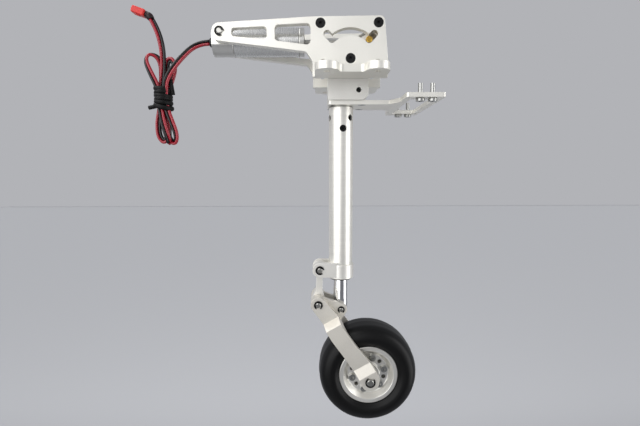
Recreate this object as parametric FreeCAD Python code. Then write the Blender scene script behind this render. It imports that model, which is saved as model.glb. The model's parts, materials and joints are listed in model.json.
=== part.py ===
"""Electric retractable landing gear leg with trailing fork, wheel and motor lead.

Millimetres, +Z up. The origin is the centre of the four mounting holes, on the
top (mating) face of the flanges. X runs fore and aft along the side plates,
Y from the near plate (-Y) to the far plate (+Y). The leg is down and the cross
pin stands at the end of the cam arc, so every joint is at its rest value.
"""
import FreeCAD
import Part
import math
import os

vec = FreeCAD.Vector
axis_x = vec(1, 0, 0)
axis_y = vec(0, 1, 0)
axis_z = vec(0, 0, 1)

# clearances
run_fit = 0.08            # radial, turning and sliding fits
free_gap = 0.3            # between pieces that move past each other
open_pivot_gap = 0.35     # radial, where the fork pin passes the link eye

# mounting flanges
flange_thick = 4.0
hole_x = 13.3             # half spacing along X
hole_y = 27.7             # half spacing along Y
mount_hole_r = 1.7
lobe_r = 6.4
waist_y = 26.5
waist_fillet = 2.5

# side plates
plate_thick = 4.0
inner_gap = 24.0          # between the two plates
plate_in = inner_gap / 2
plate_out = plate_in + plate_thick
pivot_z = 5.8
pivot_r = 2.5
rear_x = -71.6
rear_z = 20.2
rear_pin_r = 1.5
post_r = 2.5
side_hole_x = 15.1
side_hole_z = 3.2
side_hole_r = 2.1

# cam slot and cross pin
arc_r = 14.3
plate_top = pivot_z + arc_r + 8.3
post_spots = [(-16.5, plate_top - 4.0), (15.2, plate_top - 3.7)]
lock_r = 18.2
cam_angle = 45.0
cross_r = 1.75
slot_half = cross_r + free_gap
lock_stroke = lock_r - arc_r

# screws
m3_r = 1.5
m3_head_r = 2.75
m25_r = 1.25
m25_head_r = 2.3
thread_relief = 0.03      # a stud's free thread is this much under its shank
stud_shoulder = 0.3       # the shank ends this far above the bracket
plate_screw_len = 12.0
servo_screw_len = 7.6
through = 60.0            # longer than any hole that runs right through

# actuator
drive_z = 19.0
motor_r = 8.0
motor_wall = 0.8
motor_rear = -78.3
motor_front = -25.8
cap_end = -66.0
motor_end = -49.0
gearbox_end = -41.5
screw_r = 1.5
screw_end = -15.2
nut_r = 2.4
nut_rear = -20.2
eye_wall = 1.0
eye_half = 6.0
gland_r = 2.6

# trunnion block
block_half = plate_in - free_gap
channel_half = eye_half + 0.4
block_left = -12.3
block_right = 10.4
block_bottom = -15.7
bush_wall = 1.0
pinch_x = 5.0
pinch_z = -10.2

# strut
strut_x = -4.3
tube_r = 7.2
tube_bore = 5.8
king_r = 4.5
king_bush_r = 6.2
plate_t = 2.4             # servo bracket
bracket_bottom = block_bottom - plate_t
washer_t = 0.5
tube_top = bracket_bottom - washer_t - 0.05
tube_bottom = -120.6
plug_bottom = -34.5

# servo bracket frame
frame_x0 = 27.4
frame_x1 = 47.8
frame_half = 33.0
window_x0 = 30.8
window_x1 = 44.4
window_half = 25.6
arm_half = 10.5
servo_x = 38.6
servo_dx = 3.2            # half spacing along X
servo_y = 29.2            # half spacing along Y

# lower clamp, link and piston rod
clamp_top = -111.8
clamp_r = 7.9
ear_x = -17.1
ear_z = -114.9
ear_r = 4.4
ear_in = 4.2
ear_out = 7.4
rod_r = 4.4
head_r = tube_bore - run_fit
head_top = -73.0
head_len = 7.0
fork_x = strut_x
fork_z = -139.2           # fork pivot in the rod tongue
tongue_half = 3.9
link_x = -18.1
link_z = -135.0
link_half = ear_in - 0.3
pin_r = 1.5
fork_pin_r = 1.25

# fork and wheel
axle_x = 12.2
axle_z = -178.9
axle_r = 2.0
lug_in = 4.25
lug_out = 6.9
arm_upper = 11.3
arm_mid = 17.3
arm_lower = 19.4
arm_inner = 14.1
tyre_r = 30.0
tyre_half = 13.2
rim_r = 17.8
rim_half = 10.7
bearing_r = 5.0
bearing_t = 4.0
hub_bore = 3.9
rim_web = 7.2             # outer face of the rim's disc
rim_screw_ring = 10.0
rim_screw_r = 1.1

# twin lead
lead_r = 1.45


# ---------------------------------------------------------------- helpers
def cylinder(radius, start, length, axis):
    return Part.makeCylinder(radius, length, start, axis)


def across(radius, x, z, half):
    """Cylinder along Y, the same length to both sides."""
    return cylinder(radius, vec(x, -half, z), 2 * half, axis_y)


def ring(outer, inner, start, length, axis):
    return cylinder(outer, start, length, axis).cut(cylinder(inner, start, length, axis))


def rounded_edges(corners):
    """Closed outline from (a, b, radius) corners, arcs kept as arcs."""
    count = len(corners)
    runs = []
    for index in range(count):
        here = corners[index]
        point = vec(here[0], here[1], 0)
        radius = here[2] if len(here) > 2 else 0
        if radius == 0:
            runs.append((point, point, None))
            continue
        before = corners[index - 1]
        after = corners[(index + 1) % count]
        to_before = (vec(before[0], before[1], 0) - point).normalize()
        to_after = (vec(after[0], after[1], 0) - point).normalize()
        half = to_before.getAngle(to_after) / 2
        reach = radius / math.tan(half)
        inward = (to_before + to_after).normalize()
        middle = point + inward * (radius / math.sin(half) - radius)
        runs.append((point + to_before * reach, point + to_after * reach, middle))
    edges = []
    for index in range(count):
        begin, end, middle = runs[index]
        if middle is not None:
            edges.append(Part.Arc(begin, middle, end).toShape())
        following = runs[(index + 1) % count][0]
        if end.distanceToPoint(following) > 1e-6:
            edges.append(Part.makeLine(end, following))
    return edges


def slab_y(corners, low, high):
    """Outline in X and Z, thick along Y."""
    face = Part.Face(Part.Wire(rounded_edges(corners)))
    face.rotate(vec(0, 0, 0), axis_x, 90)
    face.translate(vec(0, low, 0))
    return face.extrude(vec(0, high - low, 0))


def slab_z(corners, low, high):
    """Outline in X and Y, thick along Z."""
    face = Part.Face(Part.Wire(rounded_edges(corners)))
    face.translate(vec(0, 0, low))
    return face.extrude(vec(0, 0, high - low))


def box(x0, x1, y0, y1, z0, z1):
    return Part.makeBox(x1 - x0, y1 - y0, z1 - z0, vec(x0, y0, z0))


def mirrored(shape):
    return shape.mirror(vec(0, 0, 0), axis_y)


def both_sides(shape):
    return Part.makeCompound([shape, mirrored(shape)])


def capsule_y(x0, z0, x1, z1, radius, low, high):
    """Straight slot shape with round ends, thick along Y."""
    length = math.hypot(x1 - x0, z1 - z0)
    angle = math.degrees(math.atan2(z1 - z0, x1 - x0))
    body = box(0, length, low, high, -radius, radius)
    for end in (0, length):
        body = body.fuse(cylinder(radius, vec(end, low, 0), high - low, axis_y))
    body = body.removeSplitter()
    body.rotate(vec(0, 0, 0), axis_y, -angle)
    body.translate(vec(x0, 0, z0))
    return body


def hull_y(circles, low, high):
    """Convex outline round circles (x, z, radius) in order, thick along Y."""
    body = None
    count = len(circles)
    corners = []
    for index in range(count):
        x0, z0, r0 = circles[index]
        x1, z1, r1 = circles[(index + 1) % count]
        length = math.hypot(x1 - x0, z1 - z0)
        heading = math.atan2(z1 - z0, x1 - x0)
        turn = math.asin((r0 - r1) / length)
        normal = heading - math.pi / 2 + turn
        for x, z, r in ((x0, z0, r0), (x1, z1, r1)):
            corners.append((x + r * math.cos(normal), z + r * math.sin(normal)))
        disc = cylinder(r0, vec(x0, low, z0), high - low, axis_y)
        body = disc if body is None else body.fuse(disc)
    body = body.fuse(slab_y(corners, low, high))
    return body.removeSplitter()


def polar(radius, degrees):
    """Point (x, z) at an angle from straight up, round the leg's pivot."""
    angle = math.radians(degrees)
    return radius * math.sin(angle), pivot_z + radius * math.cos(angle)


def hexagon(radius, start, length, axis):
    corners = []
    for index in range(7):
        angle = math.radians(60 * index)
        corners.append(vec(radius * math.cos(angle), radius * math.sin(angle), 0))
    body = Part.Face(Part.makePolygon(corners)).extrude(vec(0, 0, length))
    body.Placement = FreeCAD.Placement(start, FreeCAD.Rotation(axis_z, axis))
    return body


def countersunk(shank_r, head_radius, length, tip, axis):
    """Flat head screw. tip is the centre of the head's face, axis points inward."""
    depth = head_radius - shank_r
    rim = 0.25
    head = Part.makeCone(head_radius, shank_r, depth, tip + axis * rim, axis)
    body = cylinder(head_radius, tip, rim, axis).fuse(head)
    body = body.fuse(cylinder(shank_r, tip, length, axis)).removeSplitter()
    return body.cut(hexagon(shank_r * 0.72, tip, 1.3, axis))


def sink_cut(shank_r, head_radius, tip, axis, through):
    """The hole a flat head screw sits in."""
    depth = head_radius - shank_r
    cut = cylinder(head_radius, tip - axis * 2, 2.25, axis)
    cut = cut.fuse(Part.makeCone(head_radius, shank_r, depth, tip + axis * 0.25, axis))
    return cut.fuse(cylinder(shank_r, tip, through, axis))


def cap_screw(shank_r, head_radius, head_height, length, seat, axis):
    """Cylinder head screw. seat is under the head, axis points along the shank."""
    head = cylinder(head_radius, seat - axis * head_height, head_height, axis)
    head = head.makeChamfer(0.25, [head.Edges[0]])
    body = head.fuse(cylinder(shank_r, seat - axis * 0.1, length + 0.1, axis))
    socket = hexagon(shank_r * 0.85, seat - axis * head_height, head_height * 0.6, axis)
    return body.removeSplitter().cut(socket)


def grub(radius, length, face, axis):
    """Set screw with a hex socket. face is its outer end, axis points inward."""
    body = cylinder(radius, face, length, axis)
    return body.cut(hexagon(radius * 0.55, face, length * 0.5, axis))


clip_t = 0.6
groove_depth = 0.35


def grooved_pin(radius, x, z, half, groove):
    """Pin along Y with two clip grooves; groove is the near end of each, from Y = 0."""
    body = across(radius, x, z, half)
    body = body.makeChamfer(0.3, [edge for edge in body.Edges if len(edge.Vertexes) == 1])
    for side in (-1, 1):
        low = groove if side > 0 else -groove - clip_t
        body = body.cut(ring(radius + 1, radius - groove_depth, vec(x, low, z), clip_t, axis_y))
    return body


def e_clip(radius, outer, x, z, low, opening):
    """Retaining clip on a pin along Y, open towards an angle in degrees from +X to +Z."""
    body = ring(outer, radius + 0.25, vec(x, low, z), clip_t, axis_y)
    for step in (-105, 0, 105):
        angle = math.radians(opening + 180 + step)
        lug = box(radius - groove_depth, outer - 0.3, low, low + clip_t, -0.45, 0.45)
        lug.rotate(vec(0, 0, 0), axis_y, -math.degrees(angle))
        lug.translate(vec(x, 0, z))
        body = body.fuse(lug)
    gap = box(0, outer + 1, low - 1, low + clip_t + 1, -radius * 0.8, radius * 0.8)
    gap.rotate(vec(0, 0, 0), axis_y, -opening)
    gap.translate(vec(x, 0, z))
    body = body.cut(gap)
    return body.cut(across(radius - groove_depth, x, z, 60)).removeSplitter()


def clip_pair(radius, outer, x, z, groove, opening):
    near = e_clip(radius, outer, x, z, -groove - clip_t, opening)
    return Part.makeCompound([near, mirrored(near)])


def corner_radius(before, point, after):
    """Bend radius of a cord at a corner, and the length its arc takes up."""
    first = point - before
    second = after - point
    turn = first.getAngle(second)
    shorter = min(first.Length, second.Length)
    return 0.45 * shorter / math.tan(turn / 2), turn


def cord_tube(name, points, radius):
    """Tube of straight runs joined by tangent arcs."""
    edges = []
    start = points[0]
    for index in range(1, len(points) - 1):
        point = points[index]
        bend, turn = corner_radius(points[index - 1], point, points[index + 1])
        back = (points[index - 1] - point).normalize()
        ahead = (points[index + 1] - point).normalize()
        reach = bend * math.tan(turn / 2)
        inward = (back + ahead).normalize()
        middle = point + inward * (bend / math.cos(turn / 2) - bend)
        begin = point + back * reach
        end = point + ahead * reach
        edges.append(Part.makeLine(start, begin))
        edges.append(Part.Arc(begin, middle, end).toShape())
        print(name, "bend radius", round(bend, 1), "turn", round(math.degrees(turn)))
        start = end
    edges.append(Part.makeLine(start, points[-1]))
    wire = Part.Wire(edges)
    heading = (points[1] - points[0]).normalize()
    section = Part.Wire(Part.makeCircle(radius, points[0], heading))
    tube = wire.makePipeShell([section], True, True)
    expected = math.pi * radius ** 2 * wire.Length
    print(name, "length", round(wire.Length, 1), "volume ratio", round(tube.Volume / expected, 3))
    return tube


# ---------------------------------------------------------------- side plates
pad = lobe_r + waist_fillet
pad_rise = waist_y + waist_fillet - hole_y
pad_run = math.sqrt(pad ** 2 - pad_rise ** 2)
waist_x = hole_x - pad_run
flange_x = hole_x + lobe_r


def flip(point):
    return vec(-point.x, point.y, 0)


def flange():
    """Mounting flange of the far plate, with two round lobes and a waist between."""
    lobe_share = lobe_r / pad
    meet_x = hole_x - pad_run * lobe_share
    meet_y = hole_y + pad_rise * lobe_share
    bend = vec(waist_x, waist_y + waist_fillet, 0)
    mid_way = (vec(meet_x, meet_y, 0) - bend).normalize() + vec(0, -1, 0)
    mid_bend = bend + mid_way.normalize() * waist_fillet
    corner = vec(flange_x, hole_y, 0)
    top = vec(hole_x, hole_y + lobe_r, 0)
    meet = vec(meet_x, meet_y, 0)
    low = vec(waist_x, waist_y, 0)
    root = vec(flange_x, plate_in, 0)
    edges = [
        Part.makeLine(root, corner),
        Part.Arc(corner, top, meet).toShape(),
        Part.Arc(meet, mid_bend, low).toShape(),
        Part.makeLine(low, flip(low)),
        Part.Arc(flip(low), flip(mid_bend), flip(meet)).toShape(),
        Part.Arc(flip(meet), flip(top), flip(corner)).toShape(),
        Part.makeLine(flip(corner), flip(root)),
        Part.makeLine(flip(root), root),
    ]
    face = Part.Face(Part.Wire(edges))
    face.translate(vec(0, 0, -flange_thick))
    body = face.extrude(vec(0, 0, flange_thick))
    for side in (-1, 1):
        body = body.cut(cylinder(mount_hole_r, vec(side * hole_x, hole_y, -6), 9, axis_z))
    return body


def cam_cut():
    """Arc slot with a straight lock pocket at each end."""
    outer = across(arc_r + slot_half, 0, pivot_z, 40)
    inner = across(arc_r - slot_half, 0, pivot_z, 41)
    wedge_reach = 40
    left_x, left_z = polar(wedge_reach, -cam_angle)
    right_x, right_z = polar(wedge_reach, cam_angle)
    wedge = slab_y([(0, pivot_z), (right_x, right_z), (left_x, left_z)], -40, 40)
    cut = outer.cut(inner).common(wedge)
    for side in (-1, 1):
        x0, z0 = polar(arc_r, side * cam_angle)
        x1, z1 = polar(lock_r, side * cam_angle)
        cut = cut.fuse(capsule_y(x0, z0, x1, z1, slot_half, -40, 40))
    return cut.removeSplitter()


plate_outline = [
    (-20.9, -flange_thick), (20.6, -flange_thick), (20.6, 5.0, 30), (18.4, plate_top, 2.6),
    (-21.6, plate_top - 0.6, 60), (-75.8, 24.4, 4.1), (-75.8, 15.6, 4.1), (-24.4, 9.4, 3.5), (-20.9, 4.4, 3.5),
]
rear_window = [(-65.1, 21.8, 1.6), (-65.1, 17.5, 1.6), (-45.8, 15.8, 1.8), (-45.8, 22.7, 1.8)]
front_window = [(-41.5, 23.4, 2.0), (-41.5, 15.2, 2.0), (-21.9, 12.8, 2.2), (-21.9, 24.4, 2.2)]


def side_plate():
    """Far side plate; the near one is its mirror image."""
    plate = slab_y(plate_outline, plate_in, plate_out)
    plate = plate.fuse(flange()).removeSplitter()
    for window in (rear_window, front_window):
        plate = plate.cut(slab_y(window, 0, 30))
    plate = plate.cut(cam_cut())
    face = vec(0, plate_out, 0)
    inward = vec(0, -1, 0)
    for x, z in post_spots + [(0, pivot_z)]:
        plate = plate.cut(sink_cut(m3_r, m3_head_r, face + vec(x, 0, z), inward, 6))
    for side in (-1, 1):
        plate = plate.cut(across(side_hole_r, side * side_hole_x, side_hole_z, 40))
    plate = plate.cut(across(rear_pin_r, rear_x, rear_z, 40))
    return plate


far_plate = side_plate()
near_plate = mirrored(far_plate)

posts = []
plate_screws = []
pivot_screws = []
for x, z in post_spots:
    post = across(post_r, x, z, plate_in)
    post = post.cut(across(m3_r, x, z, plate_in))
    posts.append(post)
    for side in (-1, 1):
        tip = vec(x, side * plate_out, z)
        plate_screws.append(countersunk(m3_r, m3_head_r, plate_screw_len, tip, vec(0, -side, 0)))
pivot_pin = across(pivot_r, 0, pivot_z, plate_in)
for side in (-1, 1):
    tip = vec(0, side * plate_out, pivot_z)
    pivot_pin = pivot_pin.cut(cylinder(m3_r, vec(0, side * plate_in, pivot_z), 8.2, vec(0, -side, 0)))
    pivot_screws.append(countersunk(m3_r, m3_head_r, plate_screw_len, tip, vec(0, -side, 0)))

cap_half = 7.4
rear_groove = plate_out + 0.05
rear_pin = grooved_pin(rear_pin_r, rear_x, rear_z, rear_groove + clip_t + 0.5, rear_groove)
rear_clips = clip_pair(rear_pin_r, 2.6, rear_x, rear_z, rear_groove, -30)
spacer = ring(2.9, rear_pin_r, vec(rear_x, cap_half + 0.1, rear_z), plate_in - cap_half - 0.1, axis_y)
rear_spacers = both_sides(spacer)

# ---------------------------------------------------------------- actuator
end_cap = cylinder(motor_r, vec(motor_rear, 0, drive_z), cap_end - motor_rear, axis_x)
end_cap = end_cap.makeFillet(0.8, [end_cap.Edges[0]])
spigot = cylinder(motor_r - motor_wall, vec(cap_end, 0, drive_z), 3, axis_x)
end_cap = end_cap.fuse(spigot).removeSplitter()
for side in (-1, 1):
    flat = box(motor_rear - 1, cap_end - 1.5, cap_half, 20, 0, 40)
    end_cap = end_cap.cut(flat if side > 0 else mirrored(flat))
end_cap = end_cap.cut(across(rear_pin_r + run_fit, rear_x, rear_z, 20))
gland_seat = 2.2
end_cap = end_cap.cut(cylinder(gland_r - 0.6, vec(motor_rear, 0, drive_z), gland_seat, axis_x))

motor_tube = ring(motor_r, motor_r - motor_wall, vec(cap_end, 0, drive_z),
                  motor_front - 3 - cap_end, axis_x)
front_cap = cylinder(motor_r, vec(motor_front - 3, 0, drive_z), 3, axis_x)
front_cap = front_cap.makeFillet(0.6, [front_cap.Edges[2]])
front_cap = front_cap.fuse(cylinder(motor_r - motor_wall, vec(motor_front - 5, 0, drive_z), 2, axis_x))
front_cap = front_cap.removeSplitter()
front_cap = front_cap.cut(cylinder(3.4, vec(motor_front - 6, 0, drive_z), 8, axis_x))

motor_core = cylinder(motor_r - motor_wall, vec(cap_end + 3, 0, drive_z), motor_end - cap_end - 3, axis_x)
gearbox = cylinder(motor_r - motor_wall, vec(motor_end, 0, drive_z), gearbox_end - motor_end, axis_x)
gearbox = gearbox.cut(cylinder(2.5 + run_fit, vec(gearbox_end - 4, 0, drive_z), 4, axis_x))

gland = cylinder(gland_r, vec(motor_rear - 2.5, 0, drive_z), 2.5, axis_x)
gland = gland.makeFillet(0.6, [gland.Edges[2]])
gland = gland.fuse(cylinder(gland_r - 0.6, vec(motor_rear, 0, drive_z), gland_seat, axis_x))
gland = gland.removeSplitter()

lead_screw = cylinder(screw_r, vec(gearbox_end - 0.5, 0, drive_z), screw_end - gearbox_end + 0.5, axis_x)
lead_screw = lead_screw.makeChamfer(0.4, [lead_screw.Edges[0]])
lead_screw = lead_screw.fuse(cylinder(2.5, vec(gearbox_end - 3.8, 0, drive_z), 3.6, axis_x))
lead_screw = lead_screw.removeSplitter()

pin_x, pin_z = polar(arc_r, cam_angle)
lock_dx = lock_stroke * math.sin(math.radians(cam_angle))


def eye(radius):
    """Outline that lets the cross pin rise on the arc and step into its lock."""
    top = pivot_z + arc_r
    spots = [
        (pin_x - lock_dx, pin_z + lock_dx, radius), (pin_x, pin_z, radius),
        (pin_x + lock_dx, pin_z + lock_dx, radius), (pin_x, top, radius),
    ]
    return hull_y(spots, -eye_half, eye_half)


eye_in = cross_r + free_gap
nut_eye = eye(eye_in + eye_wall)
nut_len = pin_x - nut_rear
drive_nut = nut_eye.fuse(cylinder(nut_r, vec(nut_rear, 0, drive_z), nut_len, axis_x))
drive_nut = drive_nut.cut(eye(eye_in))
drive_nut = drive_nut.cut(cylinder(screw_r + run_fit, vec(nut_rear - 1, 0, drive_z), nut_len, axis_x))
drive_nut = drive_nut.removeSplitter()

# ---------------------------------------------------------------- trunnion
block_top = 2.0
block_chamfer = 2.6
block_outline = [
    (block_left, block_bottom, 0.6), (block_right - block_chamfer, block_bottom),
    (block_right, block_bottom + block_chamfer), (block_right, block_top, 3), (block_left, block_top, 3),
]
lower_block = slab_y(block_outline, -block_half, block_half)
hub = across(6.2, 0, pivot_z, block_half)
trunnion = lower_block.fuse(hub)
tip_x, tip_z = polar(lock_r - 0.8, cam_angle)
cheek = hull_y([(0, pivot_z, 7.4), (tip_x, tip_z, 3.4)], channel_half, block_half)
neck = slab_y([(-7.4, -2), (7.4, -2), (7.4, pivot_z), (-7.4, pivot_z)], channel_half, block_half)
trunnion = trunnion.fuse(cheek).fuse(mirrored(cheek)).fuse(neck).fuse(mirrored(neck))
slot_x0, slot_z0 = polar(arc_r, cam_angle)
slot_x1, slot_z1 = polar(lock_r, cam_angle)
guide_slot = capsule_y(slot_x0, slot_z0, slot_x1, slot_z1, cross_r + run_fit, -through, through)
trunnion = trunnion.cut(guide_slot)
bush_out = pivot_r + run_fit + bush_wall
trunnion = trunnion.cut(across(bush_out, 0, pivot_z, 40))
king_top = -1.6
king_len = king_top - block_bottom
trunnion = trunnion.cut(cylinder(king_bush_r, vec(strut_x, 0, block_bottom - 1), king_len + 1, axis_z))
slit = box(strut_x, block_right + 1, -0.6, 0.6, block_bottom - 1, king_top)
trunnion = trunnion.cut(slit)
pinch_depth = 3.4
trunnion = trunnion.cut(across(m3_r, pinch_x, pinch_z, 20))
trunnion = trunnion.cut(cylinder(3.0, vec(pinch_x, block_half - pinch_depth, pinch_z), 10, axis_y))
bracket_spots = [(-10.0, -8.0), (-10.0, 8.0), (7.2, -8.0), (7.2, 8.0)]
bracket_screw_len = 5.4
for x, y in bracket_spots:
    trunnion = trunnion.cut(cylinder(m25_r, vec(x, y, bracket_bottom), bracket_screw_len, axis_z))
grub_z = -10.2
king_groove = king_r - 0.8
grub_reach = strut_x - king_groove - free_gap
retainer_hole = cylinder(m3_r, vec(block_left - 1, 0, grub_z), grub_reach - block_left + 1, axis_x)
trunnion = trunnion.cut(retainer_hole)
trunnion = trunnion.removeSplitter()

pivot_bushes = []
for side in (-1, 1):
    start = vec(0, side * 3.0, pivot_z)
    pivot_bushes.append(ring(bush_out, pivot_r + run_fit, start, block_half - 3.0, vec(0, side, 0)))
king_bush = ring(king_bush_r, king_r + run_fit, vec(strut_x, 0, block_bottom), king_len, axis_z)
king_bush = king_bush.cut(retainer_hole)
retainer = grub(m3_r, 3.0, vec(block_left + 0.4, 0, grub_z), axis_x)
tip_start = block_left + 3.2
retainer = retainer.fuse(cylinder(0.9, vec(tip_start, 0, grub_z), grub_reach - tip_start, axis_x))
retainer = retainer.removeSplitter()
pinch_screw = cap_screw(m3_r, m3_head_r, 3.0, block_half * 2 - pinch_depth - 2.4,
                        vec(pinch_x, block_half - pinch_depth, pinch_z), vec(0, -1, 0))

cross_pin = across(cross_r, pin_x, pin_z, plate_out + 0.3)
cross_pin = cross_pin.makeChamfer(0.35, [edge for edge in cross_pin.Edges if len(edge.Vertexes) == 1])

# ---------------------------------------------------------------- servo bracket
arm_left = block_left + 0.2
arm_plate = [
    (arm_left, -arm_half, 1.5), (frame_x0 + 1, -arm_half), (frame_x0 + 1, arm_half), (arm_left, arm_half, 1.5),
]
bracket = slab_z(arm_plate, bracket_bottom, block_bottom)
frame_plate = slab_z([(frame_x0, -frame_half, 1.2), (frame_x1, -frame_half, 1.2),
                      (frame_x1, frame_half, 1.2), (frame_x0, frame_half, 1.2)], bracket_bottom, block_bottom)
bracket = bracket.fuse(frame_plate)
for side in (-1, 1):
    gusset = slab_z([(frame_x0 - 5, side * (arm_half - 0.1)), (frame_x0 + 0.1, side * (arm_half - 0.1)),
                     (frame_x0 + 0.1, side * (arm_half + 8))], bracket_bottom, block_bottom)
    bracket = bracket.fuse(gusset)
bracket = bracket.removeSplitter()
bracket = bracket.cut(slab_z([(window_x0, -window_half, 0.8), (window_x1, -window_half, 0.8),
                              (window_x1, window_half, 0.8), (window_x0, window_half, 0.8)], -30, 0))
bracket = bracket.cut(cylinder(king_r + free_gap, vec(strut_x, 0, -through), through, axis_z))
for x, y in bracket_spots:
    bracket = bracket.cut(sink_cut(m25_r, m25_head_r, vec(x, y, bracket_bottom), axis_z, 6))
servo_screws = []
stud_shank = plate_t + stud_shoulder
for side_x in (-1, 1):
    for side_y in (-1, 1):
        x = servo_x + side_x * servo_dx
        y = side_y * servo_y
        bracket = bracket.cut(cylinder(m25_r, vec(x, y, -through), through, axis_z))
        screw = cap_screw(m25_r, m25_head_r, 1.6, stud_shank, vec(x, y, bracket_bottom), axis_z)
        thread = cylinder(m25_r - thread_relief, vec(x, y, bracket_bottom + stud_shank),
                          servo_screw_len - stud_shank, axis_z)
        servo_screws.append(screw.fuse(thread))
bracket_screws = [countersunk(m25_r, m25_head_r, bracket_screw_len, vec(x, y, bracket_bottom), axis_z)
                  for x, y in bracket_spots]
strut_washer = ring(6.8, king_r + free_gap, vec(strut_x, 0, bracket_bottom - washer_t), washer_t, axis_z)

# ---------------------------------------------------------------- strut
tube_len = tube_top - tube_bottom
strut_tube = ring(tube_r, tube_bore, vec(strut_x, 0, tube_bottom), tube_len, axis_z)
king_pin = cylinder(king_r, vec(strut_x, 0, plug_bottom), king_top - 0.4 - plug_bottom, axis_z)
king_pin = king_pin.makeChamfer(0.5, [king_pin.Edges[0]])
king_pin = king_pin.fuse(cylinder(tube_bore, vec(strut_x, 0, plug_bottom), tube_top - plug_bottom, axis_z))
king_pin = king_pin.removeSplitter()
king_pin = king_pin.cut(ring(king_r + 1, king_groove, vec(strut_x, 0, grub_z - 1.2), 2.4, axis_z))
grub_spots = [(47, -24.7, 1.8), (-73, -24.7, 1.8), (167, -24.7, 1.8), (7, -31.0, 2.0)]
tube_grubs = []
for angle, z, radius in grub_spots:
    heading = vec(math.sin(math.radians(angle)), -math.cos(math.radians(angle)), 0)
    outer = vec(strut_x, 0, z) + heading * (tube_r - 0.9)
    hole = cylinder(radius, vec(strut_x, 0, z) + heading * 3.4, 6, heading)
    strut_tube = strut_tube.cut(hole)
    king_pin = king_pin.cut(hole)
    tube_grubs.append(grub(radius, outer.distanceToPoint(vec(strut_x, 0, z)) - 3.4, outer, heading * -1))

clamp = cylinder(clamp_r, vec(strut_x, 0, tube_bottom), clamp_top - tube_bottom, axis_z)
clamp = clamp.makeFillet(0.5, [edge for edge in clamp.Edges if len(edge.Vertexes) == 1])
ear = slab_y([(ear_x, ear_z - ear_r), (strut_x, ear_z - ear_r), (strut_x, ear_z + ear_r), (ear_x, ear_z + ear_r)],
             ear_in, ear_out)
ear = ear.fuse(cylinder(ear_r, vec(ear_x, ear_in, ear_z), ear_out - ear_in, axis_y)).removeSplitter()
clamp = clamp.fuse(ear).fuse(mirrored(ear)).removeSplitter()
clamp = clamp.cut(cylinder(tube_r, vec(strut_x, 0, -130), 40, axis_z))
clamp = clamp.cut(across(pin_r, ear_x, ear_z, 20))
clamp_screw_z = tube_bottom + 4.2
clamp_hole = cylinder(1.25, vec(strut_x + tube_r - 1.1, 0, clamp_screw_z), 6, axis_x)
clamp = clamp.cut(clamp_hole)
strut_tube = strut_tube.cut(clamp_hole)
clamp_grub = grub(1.25, 1.7, vec(strut_x + clamp_r - 0.1, 0, clamp_screw_z), vec(-1, 0, 0))

ear_groove = ear_out + 0.05
clamp_pin = grooved_pin(pin_r, ear_x, ear_z, ear_groove + clip_t + 0.5, ear_groove)
clamp_clips = clip_pair(pin_r, 2.65, ear_x, ear_z, ear_groove, -20)

guide_bush = ring(tube_bore, rod_r + run_fit, vec(strut_x, 0, tube_bottom), 14, axis_z)
lip = ring(6.3, rod_r + run_fit, vec(strut_x, 0, tube_bottom - 0.8), 0.8, axis_z)
guide_bush = guide_bush.fuse(lip).removeSplitter()

coil_wire = 0.6
coil_r = 4.6
spring_top = plug_bottom
spring_len = spring_top - head_top
helix = Part.makeHelix((spring_len - 2 * coil_wire) / 7.0, spring_len - 2 * coil_wire, coil_r)
section = Part.Wire(Part.makeCircle(coil_wire, vec(coil_r, 0, 0), axis_y))
spring = Part.Wire(helix).makePipeShell([section], True, True)
spring.translate(vec(strut_x, 0, head_top + coil_wire))

# ---------------------------------------------------------------- piston rod
rod_top = head_top - head_len
rod = cylinder(rod_r, vec(strut_x, 0, fork_z + 4), rod_top - fork_z - 4, axis_z)
tongue = cylinder(rod_r, vec(strut_x, 0, fork_z - rod_r), rod_r + 8, axis_z)
tongue_outline = slab_y([(strut_x - rod_r, fork_z), (strut_x + rod_r, fork_z), (strut_x + rod_r, fork_z + 5.5),
                         (strut_x - rod_r, fork_z + 5.5)], -tongue_half, tongue_half)
tongue_outline = tongue_outline.fuse(across(rod_r, fork_x, fork_z, tongue_half))
rod = rod.fuse(tongue.common(tongue_outline)).removeSplitter()
rod = rod.cut(box(strut_x - 9, strut_x + 9, tongue_half, 9, fork_z - 9, fork_z + 5.5))
rod = rod.cut(box(strut_x - 9, strut_x + 9, -9, -tongue_half, fork_z - 9, fork_z + 5.5))
rod = rod.cut(across(fork_pin_r + run_fit, fork_x, fork_z, 20))
rod_head = cylinder(head_r, vec(strut_x, 0, rod_top), head_len, axis_z)
rod_head = rod_head.makeChamfer(0.4, [edge for edge in rod_head.Edges if len(edge.Vertexes) == 1])

# ---------------------------------------------------------------- link
link = cylinder(ear_r - 0.4, vec(ear_x, -link_half, ear_z), 2 * link_half, axis_y)
link = link.fuse(cylinder(ear_r - 0.2, vec(link_x, -link_half, link_z), 2 * link_half, axis_y))
shank_outline = [
    (ear_x - 1.9, ear_z), (ear_x - 2.4, link_z + 7.2, 5), (link_x - 4.0, link_z + 1.2),
    (link_x + 4.0, link_z + 1.2), (ear_x + 1.5, link_z + 7.2, 5), (ear_x + 1.9, ear_z),
]
shank = slab_y(shank_outline, -link_half, link_half)
link = link.fuse(shank).removeSplitter()
link = link.cut(across(pin_r + run_fit, ear_x, ear_z, 20))
link = link.cut(across(pin_r + open_pivot_gap, link_x, link_z, 20))

# ---------------------------------------------------------------- trailing fork
fork_dx = -0.487
fork_dz = 0.873


arm_outline = [
    (-14.6, -147.6), (-5.9, -142.7), (-3.9, -146.6, 6), (4.0, -157.9, 60), (13.7, -169.6), (17.9, -176.4, 5),
    (16.6, -184.0, 4.6), (8.8, -184.2, 4.2), (5.6, -177.4), (-3.6, -163.9, 60), (-9.9, -155.4, 40),
]


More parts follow.
